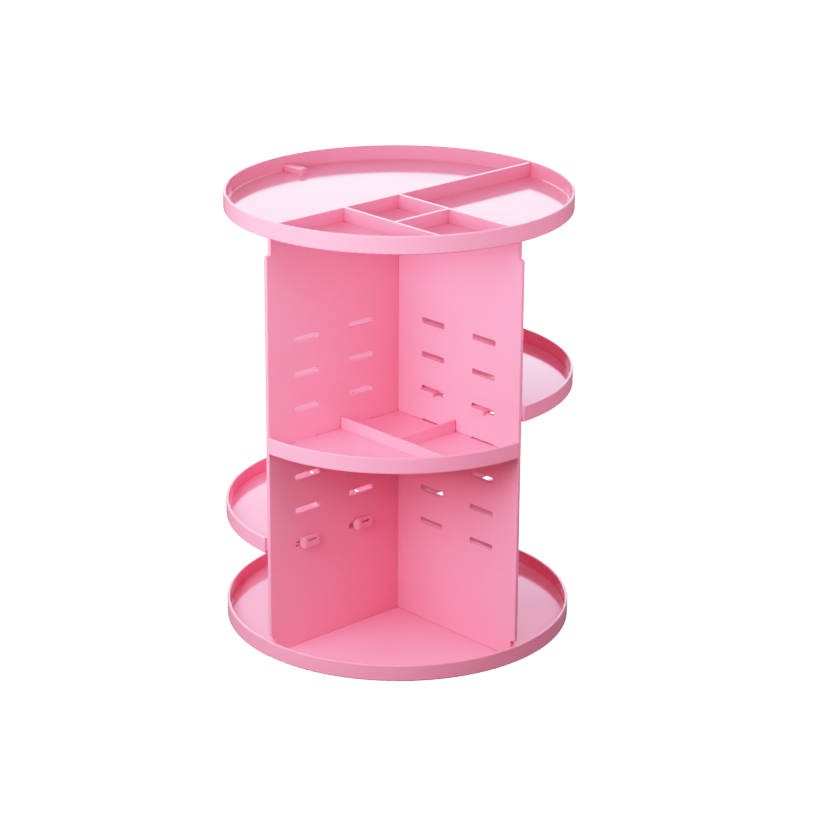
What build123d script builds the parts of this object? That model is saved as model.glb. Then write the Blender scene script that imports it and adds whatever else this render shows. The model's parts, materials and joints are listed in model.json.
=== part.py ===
from build123d import *

import os

# Rotating makeup organizer, in millimetres.
# The origin is on the axis of rotation, on the surface that the feet stand on, with +Z up.
# The four upright panels lie along +X, +Y, -X and -Y. The front quarter is x > 0, y < 0.

# Rubber feet
foot_radius = 6.0
foot_height = 2.0
foot_recess = 0.5
foot_bevel = 0.4
foot_circle_radius = 78.0
foot_count = 6

# Turntable disc
disc_radius = 90.0
disc_plate = 2.0
disc_skirt_height = 1.0
disc_skirt_width = 2.4
disc_rib_width = 2.0
disc_foot_wall = 1.6
disc_bevel = 0.5

# Ball race and cage
ball_radius = 2.0
ball_count = 8
race_circle_radius = 60.0
race_depth = 0.9
race_clearance = 0.1
rail_width = 8.0
rail_gap = 0.3
cage_thickness = 1.0
cage_width = 12.0
cage_hole_clearance = 0.1
cage_window_length = 24.0
cage_window_width = 3.0

# Pivot
pivot_radius = 4.95
pivot_clearance = 0.05
pivot_end_clearance = 0.2
hub_radius = 15.0
hub_rise = 1.5
hub_thickness = 2.7
washer_radius = 8.0
washer_thickness = 1.0
washer_pocket_clearance = 2.0
screw_radius = 1.5
screw_length = 5.5
screw_head_radius = 3.4
screw_head_height = 1.4
screw_head_round = 0.6
screw_hole_spare = 0.5
screw_cross_length = 3.6
screw_cross_width = 0.9
screw_cross_depth = 0.8

# Bottom tray
base_gap = 2.5
base_radius = 117.3
base_rim_height = 11.8
base_wall = 2.0
base_floor = 2.0

# Upright panels
panel_height = 286.0
panel_reach = 115.0
panel_thickness = 3.0
panel_edge_round = 0.7
panel_notch_depth = 3.5
panel_notch_height = 12.0
panel_notch_round = 1.5
tab_inner = 96.0
tab_outer = 111.0
tab_height = 5.0
tab_round = 1.5
seat_depth = 0.6
seat_clearance = 0.1

# Slots in the panels
slot_column_inner = 35.0
slot_column_outer = 82.3
slot_rows = 7
slot_pitch = 23.6
slot_length = 21.0
slot_height = 4.0
slot_round = 1.0

# Top tray
top_radius = 115.0
top_rim_height = 12.0
top_wall = 2.0
top_floor = 2.0
divider_thickness = 2.0
divider_long_x = 9.0
divider_rear_y = -9.0
divider_front_y = -56.2
divider_short_x = 56.2
hood_wall = 1.5
hood_roof = 1.5
hood_round = 1.4

# Quarter shelves
shelf_radius = 116.8
shelf_rim_height = 11.15
shelf_wall = 1.8
shelf_floor = 2.0
shelf_drop = 0.7
shelf_clearance = 0.3
shelf_corner_round = 2.0
shelf_divider_thickness = 1.6
shelf_divider_drop = 1.0
shelf_divider_long = 52.5
shelf_divider_short = 56.5
front_row = 4
right_row = 3
left_row = 7

# Shelf hooks: tongues along one straight edge, slit heads along the other
hook_reach = 3.0
hook_thickness = 2.0
hook_root = 6.0
hook_end_gap = 0.1
hook_neck_outer = 13.5
hook_face_gap = 0.35
tongue_round = 1.5
tongue_lip = 0.8
head_outer = 18.0
head_round = 2.4
head_end_round = 3.6
head_lip = 1.7
head_crest = 2.0
head_slit_length = 7.0
head_slit_height = 1.3
head_slit_depth = 1.6
head_slit_middle = 9.2
head_slit_rise = 1.6

# Edges shared by the moulded trays
rim_round = 0.7
bottom_round = 1.2
floor_bevel = 0.6

# Heights and widths that follow from the sizes above
disc_bottom = foot_height - foot_recess
disc_underside = disc_bottom + disc_skirt_height
disc_top = disc_underside + disc_plate
ball_height = disc_top - race_depth + race_clearance + ball_radius
race_radius = ball_radius + race_clearance
cage_bottom = ball_height - cage_thickness / 2
rail_bottom = cage_bottom + cage_thickness + rail_gap
hub_top = disc_top + hub_rise
hub_bottom = hub_top - hub_thickness
pivot_bottom = hub_bottom - pivot_end_clearance
washer_bottom = pivot_bottom - washer_thickness
screw_head_bottom = washer_bottom - screw_head_height
base_bottom = disc_top + base_gap
base_floor_top = base_bottom + base_floor
panel_middle = base_floor_top + panel_height / 2
top_bottom = base_floor_top + panel_height
top_floor_top = top_bottom + top_floor
half_panel = panel_thickness / 2
panel_shoulder = panel_reach - panel_notch_depth
seat_width = panel_thickness + 2 * seat_clearance
seat_reach = panel_shoulder + seat_clearance
tab_slot_inner = tab_inner - seat_clearance
tab_slot_outer = tab_outer + seat_clearance
hood_cavity_top = top_bottom + tab_height + seat_clearance
hood_top = hood_cavity_top + hood_roof
hood_inner = tab_slot_inner - hood_wall
hood_outer = top_radius - top_wall / 2
shelf_edge = half_panel + shelf_clearance
slot_columns = (slot_column_inner, slot_column_outer)
hook_inner = slot_round + hook_end_gap
hook_bottom = -slot_height / 2
hook_face = -half_panel - hook_face_gap
hook_tip = -half_panel - hook_reach


def slot_z(row):
    """Height of the middle of a row of slots, counted from 1 at the top."""
    return panel_middle + ((slot_rows + 1) / 2 - row) * slot_pitch


def turned(angle, height=0.0):
    """Level plane whose x axis is turned about the tower's axis."""
    return Plane(origin=(0, 0, height), x_dir=Vector(1, 0, 0).rotate(Axis.Z, angle), z_dir=(0, 0, 1))


def round_dish(radius, bottom, rim_height, wall, floor):
    """Round dish with softened edges, turned from one profile."""
    floor_top = bottom + floor
    with BuildPart() as dish:
        with BuildSketch(Plane.XZ) as profile:
            with BuildLine():
                Polyline(
                    (0, bottom),
                    (radius, bottom),
                    (radius, bottom + rim_height),
                    (radius - wall, bottom + rim_height),
                    (radius - wall, floor_top),
                    (0, floor_top),
                    close=True,
                )
            make_face()
            fillet(profile.vertices().group_by(Axis.Y)[-1], radius=rim_round)
            fillet(profile.vertices().group_by(Axis.Y)[0].sort_by(Axis.X)[-1], radius=bottom_round)
            floor_corners = profile.vertices().filter_by_position(Axis.Y, floor_top, floor_top)
            chamfer(floor_corners.sort_by(Axis.X)[-1], length=floor_bevel)
        revolve(axis=Axis.Z)
    return dish.part


def cross_seat(floor_face, depth):
    """Shallow cross-shaped groove that the panels' edges stand in."""
    with BuildPart() as seat:
        with BuildSketch(Plane.XY.offset(floor_face)):
            Rectangle(2 * seat_reach, seat_width)
            Rectangle(seat_width, 2 * seat_reach)
        extrude(amount=depth)
    return seat.part


def tab_slots(floor_face, depth):
    """Four slots through a floor for the panels' tabs."""
    with BuildPart() as slots:
        with BuildSketch(Plane.XY.offset(floor_face)):
            with PolarLocations((tab_slot_inner + tab_slot_outer) / 2, 4):
                Rectangle(tab_slot_outer - tab_slot_inner, seat_width)
        extrude(amount=depth)
    return slots.part


def foot_pad(angle):
    """Round rubber foot set into the underside of the disc."""
    with BuildPart() as foot:
        with BuildSketch(turned(angle)):
            with Locations((foot_circle_radius, 0)):
                Circle(foot_radius)
        extrude(amount=foot_height)
        chamfer(foot.edges().group_by(Axis.Z)[0], length=foot_bevel)
    return foot


def upright_panel(angle):
    """Slotted panel from the axis to the rim, mitred where the four meet."""
    outward = turned(angle)
    side = Plane(origin=(0, 0, panel_middle), x_dir=outward.x_dir, z_dir=-outward.y_dir)
    seat_edge = panel_height / 2 + seat_depth
    tab_end = panel_height / 2 + tab_height
    notch_end = panel_height / 2 - panel_notch_height
    with BuildPart() as panel:
        with BuildSketch(side) as outline:
            with BuildLine():
                Polyline(
                    (0, 0),
                    (0, -seat_edge),
                    (tab_inner, -seat_edge),
                    (tab_inner, -tab_end),
                    (tab_outer, -tab_end),
                    (tab_outer, -seat_edge),
                    (panel_shoulder, -seat_edge),
                    (panel_shoulder, -notch_end),
                    (panel_reach, -notch_end),
                    (panel_reach, 0),
                    close=True,
                )
            make_face()
            fillet(outline.vertices().group_by(Axis.Y)[0], radius=tab_round)
            notch_corners = outline.vertices().filter_by_position(Axis.Y, -notch_end, -notch_end)
            fillet(notch_corners, radius=panel_notch_round)
            mirror(about=Plane.XZ)
        extrude(amount=half_panel, both=True)
        with BuildSketch(turned(angle, panel_middle - tab_end)) as section:
            with BuildLine():
                Polyline(
                    (0, 0),
                    (half_panel, -half_panel),
                    (panel_reach, -half_panel),
                    (panel_reach, half_panel),
                    (half_panel, half_panel),
                    close=True,
                )
            make_face()
            fillet(section.vertices().group_by(Axis.X)[-1], radius=panel_edge_round)
        extrude(amount=2 * tab_end, mode=Mode.INTERSECT)
        with BuildSketch(side):
            with Locations([(column, 0) for column in slot_columns]):
                with GridLocations(0, slot_pitch, 1, slot_rows):
                    RectangleRounded(slot_length, slot_height, slot_round)
        extrude(amount=panel_thickness, both=True, mode=Mode.SUBTRACT)
    return panel


def hook_plan(outer_at_face, outer_at_tip, corner_round):
    """Plan of a hook's end beyond the panel, seen from the slot: x runs outward from the slot's inner
    end, and the panel's far face is at -half_panel.
    """
    with BuildSketch() as plan:
        with BuildLine():
            Polyline(
                (hook_inner, hook_face),
                (hook_inner, hook_tip),
                (outer_at_tip, hook_tip),
                (outer_at_face, hook_face),
                close=True,
            )
        make_face()
        fillet(plan.vertices().group_by(Axis.Y)[0], radius=corner_round)
    return plan.sketch


def hook_neck():
    """Neck that rests in the slot. It widens at 45 degrees towards the shelf, which is at y > 0, so
    that it passes the slot while the shelf slides in towards the axis.
    """
    with BuildPart() as neck:
        with BuildSketch(Plane.XY.offset(hook_bottom)):
            with BuildLine():
                Polyline(
                    (hook_inner, half_panel + hook_root),
                    (hook_inner, hook_face),
                    (hook_neck_outer, hook_face),
                    (hook_neck_outer, half_panel),
                    (hook_neck_outer + hook_root, half_panel + hook_root),
                    close=True,
                )
            make_face()
        extrude(amount=hook_thickness)
    return neck.part


def tongue_hook():
    """Hook with a plain tongue and a small lip below the slot."""
    with BuildPart() as hook:
        add(hook_neck())
        with BuildSketch(Plane.XY.offset(hook_bottom - tongue_lip)):
            add(hook_plan(hook_neck_outer, hook_neck_outer, tongue_round))
        extrude(amount=tongue_lip + hook_thickness)
    return hook.part


def head_hook():
    """Hook with a rounded head, taller than the slot and slit across its front."""
    head_bottom = hook_bottom - head_lip
    head_height = slot_height + head_lip + head_crest
    with BuildPart() as hook:
        with BuildSketch(Plane.XY.offset(head_bottom)):
            add(hook_plan(head_outer, head_outer - hook_reach, head_round))
        extrude(amount=head_height)
        with BuildSketch(Plane.XZ) as front:
            with Locations((hook_inner, head_bottom)):
                Rectangle(head_outer - hook_inner, head_height, align=(Align.MIN, Align.MIN))
            fillet(front.vertices(), radius=head_end_round)
        extrude(amount=-hook_tip, mode=Mode.INTERSECT)
        add(hook_neck())
        with BuildSketch(Plane.XZ.offset(-hook_tip)):
            with Locations((head_slit_middle, head_slit_rise)):
                SlotOverall(head_slit_length, head_slit_height)
        extrude(amount=-head_slit_depth, mode=Mode.SUBTRACT)
    return hook.part


def quarter_shelf(angle, row, divided=False):
    """Quarter-round tray with a rim on its arc and two hooks along each straight edge."""
    tongue = tongue_hook()
    head = mirror(head_hook(), about=Plane(origin=(0, 0, 0), z_dir=(1, -1, 0)), mode=Mode.PRIVATE)
    hook_starts = [column - slot_length / 2 for column in slot_columns]
    underside = slot_z(row) - shelf_drop
    with BuildPart(turned(angle)) as shelf:
        with BuildSketch(turned(angle, underside)):
            Circle(shelf_radius)
            with Locations((shelf_edge, shelf_edge)):
                Rectangle(shelf_radius, shelf_radius, align=(Align.MIN, Align.MIN), mode=Mode.INTERSECT)
        extrude(amount=shelf_floor)
        with BuildSketch(turned(angle, underside)):
            Circle(shelf_radius)
            Circle(shelf_radius - shelf_wall, mode=Mode.SUBTRACT)
            with Locations((shelf_edge, shelf_edge)):
                Rectangle(shelf_radius, shelf_radius, align=(Align.MIN, Align.MIN), mode=Mode.INTERSECT)
        extrude(amount=shelf_rim_height)
        inner_corner = shelf.edges().filter_by(Axis.Z).sort_by_distance((0, 0, underside))[0]
        fillet(inner_corner, radius=shelf_corner_round)
        arcs = shelf.edges().filter_by(GeomType.CIRCLE)
        fillet(arcs.group_by(Axis.Z)[-1], radius=rim_round)
        outer_arcs = shelf.edges().filter_by(GeomType.CIRCLE).group_by(Axis.Z)[0]
        fillet(outer_arcs.sort_by(SortBy.RADIUS)[-1], radius=bottom_round)
        if divided:
            with BuildSketch(turned(angle, underside + shelf_floor)):
                with Locations((shelf_divider_long, shelf_edge)):
                    Rectangle(shelf_divider_thickness, shelf_radius, align=(Align.CENTER, Align.MIN))
                with Locations((shelf_edge, shelf_divider_short)):
                    Rectangle(
                        shelf_divider_long - shelf_edge,
                        shelf_divider_thickness,
                        align=(Align.MIN, Align.CENTER),
                    )
                Circle(shelf_radius - shelf_wall / 2, mode=Mode.INTERSECT)
            extrude(amount=shelf_rim_height - shelf_floor - shelf_divider_drop)
        with Locations([(start, 0, slot_z(row)) for start in hook_starts]):
            add(tongue)
        with Locations([(0, start, slot_z(row)) for start in hook_starts]):
            add(head)
    return shelf


def tab_hood():
    """Hollow block along +X with rounded edges that covers a tab above the top tray's floor."""
    with BuildPart() as hood:
        with BuildSketch(Plane.XY.offset(top_floor_top)):
            with Locations((hood_inner, 0)):
                Rectangle(
                    hood_outer - hood_inner,
                    seat_width + 2 * hood_wall,
                    align=(Align.MIN, Align.CENTER),
                )
        extrude(amount=hood_top - top_floor_top)
        end_edges = hood.edges().filter_by(Axis.Z).group_by(Axis.X)[0]
        top_edges = hood.edges().group_by(Axis.Z)[-1].sort_by(Axis.X)[:-1]
        fillet(end_edges + top_edges, radius=hood_round)
        with BuildSketch(Plane.XY.offset(top_floor_top)):
            with Locations((tab_slot_inner, 0)):
                Rectangle(tab_slot_outer - tab_slot_inner, seat_width, align=(Align.MIN, Align.CENTER))
        extrude(amount=hood_cavity_top - top_floor_top, mode=Mode.SUBTRACT)
    return hood.part


# Turntable disc: flat plate with a skirt, ribs and foot seats below, a ball race and a hub
with BuildPart() as turntable_disc:
    with BuildSketch(Plane.XY.offset(disc_underside)):
        Circle(disc_radius)
    extrude(amount=disc_plate)
    chamfer(turntable_disc.edges().group_by(Axis.Z)[-1], length=disc_bevel)
    with BuildSketch(Plane.XY.offset(disc_bottom)):
        Circle(disc_radius)
        Circle(disc_radius - disc_skirt_width, mode=Mode.SUBTRACT)
        with PolarLocations(disc_radius / 2, foot_count):
            Rectangle(disc_radius - disc_skirt_width, disc_rib_width)
        Circle(hub_radius)
        with PolarLocations(foot_circle_radius, foot_count):
            Circle(foot_radius + disc_foot_wall)
    extrude(amount=disc_skirt_height)
    with BuildSketch(Plane.XY.offset(disc_top)):
        Circle(hub_radius)
    extrude(amount=hub_rise)
    with BuildSketch(Plane.XY.offset(disc_bottom)):
        Circle(washer_radius + washer_pocket_clearance)
    extrude(amount=hub_bottom - disc_bottom, mode=Mode.SUBTRACT)
    with BuildSketch(Plane.XY.offset(disc_bottom)):
        Circle(pivot_radius + pivot_clearance)
    extrude(amount=hub_top - disc_bottom, mode=Mode.SUBTRACT)
    with BuildSketch(Plane.XY.offset(disc_bottom)):
        with PolarLocations(foot_circle_radius, foot_count):
            Circle(foot_radius)
    extrude(amount=foot_recess, mode=Mode.SUBTRACT)
    with BuildSketch(Plane.XZ):
        with Locations((race_circle_radius, ball_height)):
            Circle(race_radius)
    revolve(axis=Axis.Z, mode=Mode.SUBTRACT)

# Ball cage: flat ring with a hole for each ball and windows between them
with BuildPart() as ball_cage:
    with BuildSketch(Plane.XY.offset(cage_bottom)):
        Circle(race_circle_radius + cage_width / 2)
        Circle(race_circle_radius - cage_width / 2, mode=Mode.SUBTRACT)
        with PolarLocations(race_circle_radius, ball_count):
            Circle(ball_radius + cage_hole_clearance, mode=Mode.SUBTRACT)
        with PolarLocations(race_circle_radius, ball_count, start_angle=180 / ball_count):
            SlotOverall(cage_window_length, cage_window_width, rotation=90, mode=Mode.SUBTRACT)
    extrude(amount=cage_thickness)

# Steel balls
with BuildPart() as bearing_balls:
    with Locations((0, 0, ball_height)):
        with PolarLocations(race_circle_radius, ball_count):
            Sphere(ball_radius)

# Bottom tray: dish with a bearing rail and a pivot boss below, seats and slots for the panels above
with BuildPart() as base_tray:
    add(round_dish(base_radius, base_bottom, base_rim_height, base_wall, base_floor))
    with BuildSketch(Plane.XY.offset(rail_bottom)):
        Circle(race_circle_radius + rail_width / 2)
        Circle(race_circle_radius - rail_width / 2, mode=Mode.SUBTRACT)
    extrude(amount=base_bottom - rail_bottom)
    with BuildSketch(Plane.XZ):
        with Locations((race_circle_radius, ball_height)):
            Circle(race_radius)
    revolve(axis=Axis.Z, mode=Mode.SUBTRACT)
    with BuildSketch(Plane.XY.offset(pivot_bottom)):
        Circle(pivot_radius)
    extrude(amount=base_bottom - pivot_bottom)
    with BuildSketch(Plane.XY.offset(pivot_bottom)):
        Circle(screw_radius)
    extrude(amount=screw_length - washer_thickness + screw_hole_spare, mode=Mode.SUBTRACT)
    add(cross_seat(base_floor_top, -seat_depth), mode=Mode.SUBTRACT)
    add(tab_slots(base_floor_top, -base_floor), mode=Mode.SUBTRACT)

# Washer and screw that keep the disc on the pivot boss
with BuildPart() as pivot_washer:
    with BuildSketch(Plane.XY.offset(washer_bottom)):
        Circle(washer_radius)
        Circle(screw_radius, mode=Mode.SUBTRACT)
    extrude(amount=washer_thickness)

with BuildPart() as pivot_screw:
    with BuildSketch(Plane.XY.offset(screw_head_bottom)):
        Circle(screw_head_radius)
    extrude(amount=screw_head_height)
    fillet(pivot_screw.edges().group_by(Axis.Z)[0], radius=screw_head_round)
    with BuildSketch(Plane.XY.offset(washer_bottom)):
        Circle(screw_radius)
    extrude(amount=screw_length)
    with BuildSketch(Plane.XY.offset(screw_head_bottom)):
        Rectangle(screw_cross_length, screw_cross_width)
        Rectangle(screw_cross_width, screw_cross_length)
    extrude(amount=screw_cross_depth, mode=Mode.SUBTRACT)

# Top tray: dish with dividing walls, hoods over the tabs, and the same seats below
with BuildPart() as top_tray:
    add(round_dish(top_radius, top_bottom, top_rim_height, top_wall, top_floor))
    with BuildSketch(Plane.XY.offset(top_floor_top)):
        with Locations((divider_long_x, 0)):
            Rectangle(divider_thickness, 2 * top_radius)
        with Locations((divider_long_x, divider_rear_y), (divider_long_x, divider_front_y)):
            Rectangle(top_radius, divider_thickness, align=(Align.MIN, Align.CENTER))
        with Locations((divider_short_x, divider_rear_y)):
            Rectangle(
                divider_thickness,
                divider_rear_y - divider_front_y,
                align=(Align.CENTER, Align.MAX),
            )
        Circle(top_radius - top_wall / 2, mode=Mode.INTERSECT)
    extrude(amount=top_rim_height - top_floor - rim_round)
    hood = tab_hood()
    with PolarLocations(0, 4):
        add(hood)
    add(cross_seat(top_bottom, seat_depth), mode=Mode.SUBTRACT)
    add(tab_slots(top_bottom, top_floor), mode=Mode.SUBTRACT)

pieces = {
    "turntable_disc": turntable_disc,
    "ball_cage": ball_cage,
    "bearing_balls": bearing_balls,
    "base_tray": base_tray,
    "pivot_washer": pivot_washer,
    "pivot_screw": pivot_screw,
    "top_tray": top_tray,
    "panel_front_right": upright_panel(0),
    "panel_back_right": upright_panel(90),
    "panel_back_left": upright_panel(180),
    "panel_front_left": upright_panel(270),
    "shelf_right": quarter_shelf(0, right_row),
    "shelf_left": quarter_shelf(180, left_row),
    "shelf_front": quarter_shelf(270, front_row, divided=True),
}
for number in range(foot_count):
    pieces[f"foot_pad_{number + 1}"] = foot_pad(number * 360 / foot_count)

os.makedirs("parts", exist_ok=True)
for name, piece in pieces.items():
    piece.part.label = name
    export_step(piece.part, f"parts/{name}.step")
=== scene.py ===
import json
import math

import bpy
from mathutils import Matrix, Vector

# Rotating makeup organizer: finishes, light and camera, in metres, in the model's own frame.

# Camera, placed where the photograph was taken from. Angles in degrees, lens and sensor in millimetres
CAMERA_PLACE = Vector((1.22315, -1.13573, 0.75668))
CAMERA_HEADING = 46.85
CAMERA_DIP = 19.893
CAMERA_ROLL = 0.3249
CAMERA_LENS = 115.80
CAMERA_SENSOR = 36.0

# Colours, as linear red, green and blue
PINK = (0.965, 0.24, 0.38)
PINK_DEEP = (0.955, 0.225, 0.36)
# Painted shade colour, mixed into the pink in narrow corners and seams
PINK_PAINTED_SHADE = (0.72, 0.08, 0.16)
NYLON = (0.82, 0.82, 0.79)
NYLON_WARM = (0.78, 0.77, 0.72)
STEEL = (0.72, 0.72, 0.74)
ZINC = (0.62, 0.63, 0.65)
ZINC_BLUE = (0.52, 0.55, 0.62)
RUBBER = (0.62, 0.62, 0.61)
RUBBER_DARK = (0.52, 0.52, 0.51)
FLOOR = (0.17, 0.17, 0.17)
WHITE = (1.0, 1.0, 1.0)
LILAC = (1.0, 0.74, 1.0)

# Drift of each finish. TONE: waves to a metre. GLOSS: least and most roughness, waves to a metre.
# RIPPLE: waves to a metre, strength, depth in metres
PINK_TONE = 9.0
PINK_GLOSS = (0.09, 0.13, 14.0)
PINK_RIPPLE = (900.0, 0.05, 0.0002)
NYLON_TONE = 60.0
NYLON_GLOSS = (0.42, 0.55, 80.0)
NYLON_RIPPLE = (1500.0, 0.10, 0.0002)
STEEL_GLOSS = (0.06, 0.16, 400.0)
ZINC_TONE = 150.0
ZINC_GLOSS = (0.26, 0.38, 300.0)
ZINC_RIPPLE = (2500.0, 0.12, 0.0001)
RUBBER_TONE = 180.0
RUBBER_GLOSS = (0.55, 0.75, 250.0)
RUBBER_RIPPLE = (3000.0, 0.25, 0.0002)

# Noise of each kind of drift: detail and roughness. BAND: the part of the noise's range that is used
TONE_NOISE = (4.0, 0.55)
TONE_BAND = (0.35, 0.65)
GLOSS_NOISE = (3.0, 0.5)
GLOSS_BAND = (0.3, 0.7)
RIPPLE_NOISE = (2.0, 0.5)

# Pink plastic: the small radius that the mould leaves on its sharp edges, and painted shade that darkens
# its seams and narrow corners.
# The painted shade is deepest where no more than CLOSED of the view round a point is free, and ends at OPEN
PLASTIC_IOR = 1.55
EDGE_RADIUS = 0.0006
PAINTED_SHADE_REACH = 0.0022
PAINTED_SHADE_DEPTH = 0.75
PAINTED_SHADE_CLOSED = 0.25
PAINTED_SHADE_OPEN = 0.7
PAINTED_SHADE_SAMPLES = 8

# Soft boxes round the tower, all of one apparent size in degrees. Each has a name, its bearing in degrees
# clockwise from straight behind the tower as the camera sees it, its height in degrees, its distance in
# metres, its power in watts and its colour. The gloss doesn't mirror a box nearer than NEAR_BOX metres
RIG_CENTRE = Vector((0.0, 0.0, 0.15))
BOX_SPAN = 45.0
BOX_RISE = 25.0
NEAR_BOX = 1.0
SOFT_BOXES = (
    ("front_left_low", 222.0, 23.0, 0.45, 3.6, WHITE),
    ("front_top", 180.0, 58.0, 0.7, 1.7, WHITE),
    ("front_right_low", 135.0, 27.0, 0.45, 1.1, WHITE),
    ("back_left_high", 315.0, 32.0, 2.6, 29.0, WHITE),
    ("back_left_top", 315.0, 58.0, 2.6, 8.0, WHITE),
    ("back_low", 0.0, 7.4, 2.6, 51.0, LILAC),
    ("back_high", 0.0, 32.0, 2.6, 14.0, LILAC),
    ("back_right_high", 45.0, 32.0, 2.6, 12.0, WHITE),
    ("right_high", 90.0, 32.0, 2.6, 7.0, WHITE),
    ("left_top", 270.0, 58.0, 2.6, 4.0, WHITE),
    ("left_high", 270.0, 32.0, 2.6, 10.0, WHITE),
    ("left_low", 270.0, 8.0, 2.6, 5.0, WHITE),
)

# Matt stage floor, and the white glow that overexposes the floor and the backdrop
FLOOR_SPAN = 14.0
FLOOR_ROUGHNESS = 0.9
FLOOR_SPECULAR = 0.1
FLOOR_FILL = 0.05
WORLD_FILL = 0.03
BACKDROP_GLOW = 3.0

# Response of the photograph: bright light levels off softly towards white
RESPONSE_TOP = 1.1
RESPONSE_BEND = 1.8
RESPONSE_WHITE = 6.0
RESPONSE_STEPS = (0.1, 0.25, 0.5, 0.8, 1.2, 1.8, 2.6, 4.0)
COMBINED_CURVE = 3


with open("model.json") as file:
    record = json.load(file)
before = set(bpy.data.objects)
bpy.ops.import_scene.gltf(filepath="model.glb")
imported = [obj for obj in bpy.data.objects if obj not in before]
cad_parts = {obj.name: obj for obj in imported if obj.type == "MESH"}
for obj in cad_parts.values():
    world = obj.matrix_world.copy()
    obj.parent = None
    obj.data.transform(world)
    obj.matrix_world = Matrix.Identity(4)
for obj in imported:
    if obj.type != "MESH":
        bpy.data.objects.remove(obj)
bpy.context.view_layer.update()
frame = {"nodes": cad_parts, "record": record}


def node_at(tree, kind, **inputs):
    """Adds a shader node and sets its unlinked inputs by name."""
    node = tree.nodes.new(kind)
    for name, value in inputs.items():
        node.inputs[name.replace("_", " ")].default_value = value
    return node


def noise_in(tree, grain, detail, roughness):
    """Soft noise in the object's own coordinates. Returns the value socket."""
    place = node_at(tree, "ShaderNodeTexCoord")
    noise = node_at(tree, "ShaderNodeTexNoise", Scale=grain, Detail=detail, Roughness=roughness)
    tree.links.new(place.outputs["Object"], noise.inputs["Vector"])
    return noise.outputs["Fac"]


def rescaled(tree, value, band, span):
    """A value carried over from one range to another. Returns the value socket."""
    spread = node_at(
        tree, "ShaderNodeMapRange", From_Min=band[0], From_Max=band[1], To_Min=span[0], To_Max=span[1]
    )
    tree.links.new(value, spread.inputs["Value"])
    return spread.outputs["Result"]


def mottled(tree, colour_a, colour_b, grain):
    """Two near tones mixed by noise. Returns the colour socket."""
    ramp = node_at(tree, "ShaderNodeValToRGB")
    for stop, position, colour in zip(ramp.color_ramp.elements, TONE_BAND, (colour_b, colour_a)):
        stop.position = position
        stop.color = (*colour, 1.0)
    tree.links.new(noise_in(tree, grain, *TONE_NOISE), ramp.inputs["Fac"])
    return ramp.outputs["Color"]


def varied(tree, low, high, grain):
    """A number that drifts between low and high by noise. Returns the value socket."""
    return rescaled(tree, noise_in(tree, grain, *GLOSS_NOISE), GLOSS_BAND, (low, high))


def rippled(tree, grain, strength, depth, edge_radius=0.0):
    """Fine relief, over softened edges where a radius is given. Returns the normal socket."""
    bump = node_at(tree, "ShaderNodeBump", Strength=strength, Distance=depth)
    tree.links.new(noise_in(tree, grain, *RIPPLE_NOISE), bump.inputs["Height"])
    if edge_radius:
        edges = node_at(tree, "ShaderNodeBevel", Radius=edge_radius)
        tree.links.new(edges.outputs["Normal"], bump.inputs["Normal"])
    return bump.outputs["Normal"]


def with_painted_crease_shade(tree, colour, shade_colour):
    """Painted shade: colour that darkens in narrow corners and seams, where shade falls. Returns the colour
    socket.
    """
    near = node_at(tree, "ShaderNodeAmbientOcclusion", Distance=PAINTED_SHADE_REACH)
    near.samples = PAINTED_SHADE_SAMPLES
    share = rescaled(tree, near.outputs["AO"], (PAINTED_SHADE_CLOSED, PAINTED_SHADE_OPEN), (PAINTED_SHADE_DEPTH, 0.0))
    blend = node_at(tree, "ShaderNodeMixRGB", Color2=(*shade_colour, 1.0))
    tree.links.new(share, blend.inputs["Fac"])
    tree.links.new(colour, blend.inputs["Color1"])
    return blend.outputs["Color"]


def new_material(name):
    """A material with its node tree and its main surface node."""
    material = bpy.data.materials.new(name)
    material.use_nodes = True
    tree = material.node_tree
    return material, tree, tree.nodes["Principled BSDF"]


def moulded_plastic():
    """Glossy pink moulded plastic: faint drift of tone and gloss, a very fine ripple, and painted shade in
    its seams and corners.
    """
    material, tree, surface = new_material("pink_moulded_plastic")
    tone = mottled(tree, PINK, PINK_DEEP, PINK_TONE)
    # Painted shade: the base colour darkens in narrow corners and seams
    tree.links.new(with_painted_crease_shade(tree, tone, PINK_PAINTED_SHADE), surface.inputs["Base Color"])
    tree.links.new(varied(tree, *PINK_GLOSS), surface.inputs["Roughness"])
    tree.links.new(rippled(tree, *PINK_RIPPLE, EDGE_RADIUS), surface.inputs["Normal"])
    surface.inputs["IOR"].default_value = PLASTIC_IOR
    return material


def cage_plastic():
    """Natural nylon of the ball cage."""
    material, tree, surface = new_material("cage_nylon")
    tree.links.new(mottled(tree, NYLON, NYLON_WARM, NYLON_TONE), surface.inputs["Base Color"])
    tree.links.new(varied(tree, *NYLON_GLOSS), surface.inputs["Roughness"])
    tree.links.new(rippled(tree, *NYLON_RIPPLE), surface.inputs["Normal"])
    return material


def ball_steel():
    """Polished bearing steel with a trace of grease."""
    material, tree, surface = new_material("ball_steel")
    surface.inputs["Base Color"].default_value = (*STEEL, 1.0)
    surface.inputs["Metallic"].default_value = 1.0
    tree.links.new(varied(tree, *STEEL_GLOSS), surface.inputs["Roughness"])
    return material


def zinc_steel():
    """Bright zinc plating with its bluish drift and turned texture."""
    material, tree, surface = new_material("zinc_steel")
    tree.links.new(mottled(tree, ZINC, ZINC_BLUE, ZINC_TONE), surface.inputs["Base Color"])
    surface.inputs["Metallic"].default_value = 1.0
    tree.links.new(varied(tree, *ZINC_GLOSS), surface.inputs["Roughness"])
    tree.links.new(rippled(tree, *ZINC_RIPPLE), surface.inputs["Normal"])
    return material


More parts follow.
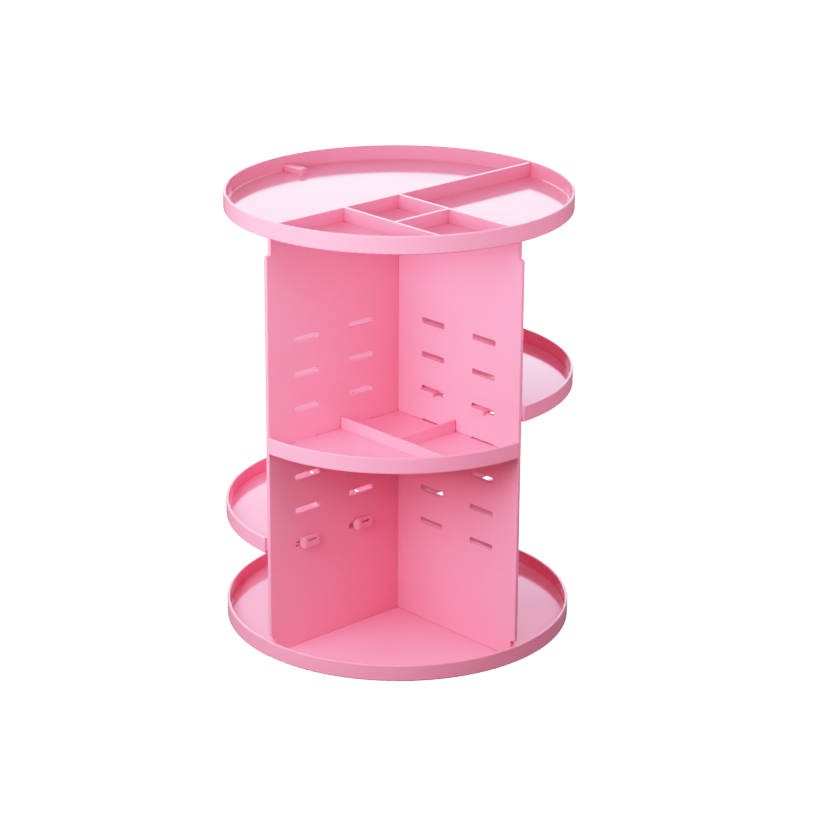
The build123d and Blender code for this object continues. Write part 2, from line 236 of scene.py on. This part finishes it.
def foot_rubber():
    """Pale soft rubber of the feet, slightly dusty."""
    material, tree, surface = new_material("foot_rubber")
    tree.links.new(mottled(tree, RUBBER, RUBBER_DARK, RUBBER_TONE), surface.inputs["Base Color"])
    tree.links.new(varied(tree, *RUBBER_GLOSS), surface.inputs["Roughness"])
    tree.links.new(rippled(tree, *RUBBER_RIPPLE), surface.inputs["Normal"])
    return material


def backdrop_glow(tree, fill):
    """Strength of a white glow that overexposes the backdrop and lights the object by a small fill alone.
    Returns the value socket.
    """
    path = node_at(tree, "ShaderNodeLightPath")
    return rescaled(tree, path.outputs["Is Camera Ray"], (0.0, 1.0), (fill, BACKDROP_GLOW))


def floor_material():
    """Matt studio floor, overexposed to white."""
    material, tree, surface = new_material("stage_floor")
    surface.inputs["Base Color"].default_value = (*FLOOR, 1.0)
    surface.inputs["Roughness"].default_value = FLOOR_ROUGHNESS
    surface.inputs["Specular IOR Level"].default_value = FLOOR_SPECULAR
    surface.inputs["Emission Color"].default_value = (*WHITE, 1.0)
    tree.links.new(backdrop_glow(tree, FLOOR_FILL), surface.inputs["Emission Strength"])
    return material


# Every node keeps its shape and takes the finish of its slot
finishes = {
    "pink_plastic": moulded_plastic(),
    "cage_plastic": cage_plastic(),
    "ball_steel": ball_steel(),
    "zinc_steel": zinc_steel(),
    "foot_rubber": foot_rubber(),
}
slot_of = {row["node"]: row["material_slot"] for row in frame["record"]["subparts"]}
for name, piece in frame["nodes"].items():
    piece.data.materials.clear()
    piece.data.materials.append(finishes[slot_of[name]])
    piece.data.shade_smooth()

# Floor
bpy.ops.mesh.primitive_plane_add(size=FLOOR_SPAN, location=(0, 0, 0))
floor = bpy.context.object
floor.name = "stage_floor"
floor.data.materials.append(floor_material())


def seen_from_camera(right, depth, height):
    """A place given as right of and beyond the tower's axis as the camera sees it, and its height."""
    heading = math.radians(CAMERA_HEADING)
    across = Vector((math.cos(heading), math.sin(heading), 0.0))
    away = Vector((-math.sin(heading), math.cos(heading), 0.0))
    return across * right + away * depth + Vector((0.0, 0.0, height))


def soft_box(name, bearing, rise, distance, power, colour):
    """Rectangular soft box turned towards the middle of the rig. The camera doesn't see it, and the gloss
    doesn't mirror a near one.
    """
    angle = math.radians(bearing)
    reach = distance * math.cos(math.radians(rise))
    height = RIG_CENTRE.z + distance * math.sin(math.radians(rise))
    data = bpy.data.lights.new(name, "AREA")
    data.shape = "RECTANGLE"
    data.size = 2.0 * reach * math.tan(math.radians(BOX_SPAN / 2.0))
    data.size_y = 2.0 * distance * math.tan(math.radians(BOX_RISE / 2.0))
    data.energy = power
    data.color = colour
    box = bpy.data.objects.new(name, data)
    bpy.context.scene.collection.objects.link(box)
    box.location = seen_from_camera(reach * math.sin(angle), reach * math.cos(angle), height)
    box.rotation_mode = "QUATERNION"
    box.rotation_quaternion = (RIG_CENTRE - box.location).to_track_quat("-Z", "Y")
    box.visible_camera = False
    box.visible_glossy = distance > NEAR_BOX


for soft_box_row in SOFT_BOXES:
    soft_box(*soft_box_row)

world = bpy.data.worlds.new("studio")
world.use_nodes = True
sky = world.node_tree.nodes["Background"]
sky.inputs["Color"].default_value = (*WHITE, 1.0)
world.node_tree.links.new(backdrop_glow(world.node_tree, WORLD_FILL), sky.inputs["Strength"])
bpy.context.scene.world = world

# Camera
camera_data = bpy.data.cameras.new("camera")
camera_data.sensor_width = CAMERA_SENSOR
camera_data.lens = CAMERA_LENS
camera_data.dof.use_dof = False
camera = bpy.data.objects.new("camera", camera_data)
bpy.context.scene.collection.objects.link(camera)
camera.matrix_world = (
    Matrix.Translation(CAMERA_PLACE)
    @ Matrix.Rotation(math.radians(CAMERA_HEADING), 4, "Z")
    @ Matrix.Rotation(math.radians(90.0 - CAMERA_DIP), 4, "X")
    @ Matrix.Rotation(math.radians(CAMERA_ROLL), 4, "Z")
)
bpy.context.scene.camera = camera


def response(light):
    """Shown brightness of a light level: in step at first, then levelling off at the top."""
    share = light / RESPONSE_TOP
    return min(1.0, light / (1.0 + share**RESPONSE_BEND) ** (1.0 / RESPONSE_BEND))


def soft_response(view):
    """Gives the rendered picture the photograph's soft shoulder, in each of its three colours."""
    view.view_transform = "Standard"
    view.use_curve_mapping = True
    mapping = view.curve_mapping
    mapping.white_level = (RESPONSE_WHITE, RESPONSE_WHITE, RESPONSE_WHITE)
    curve = mapping.curves[COMBINED_CURVE]
    curve.points[-1].location = (1.0, response(RESPONSE_WHITE))
    for light in RESPONSE_STEPS:
        curve.points.new(light / RESPONSE_WHITE, response(light))
    mapping.update()


soft_response(bpy.context.scene.view_settings)
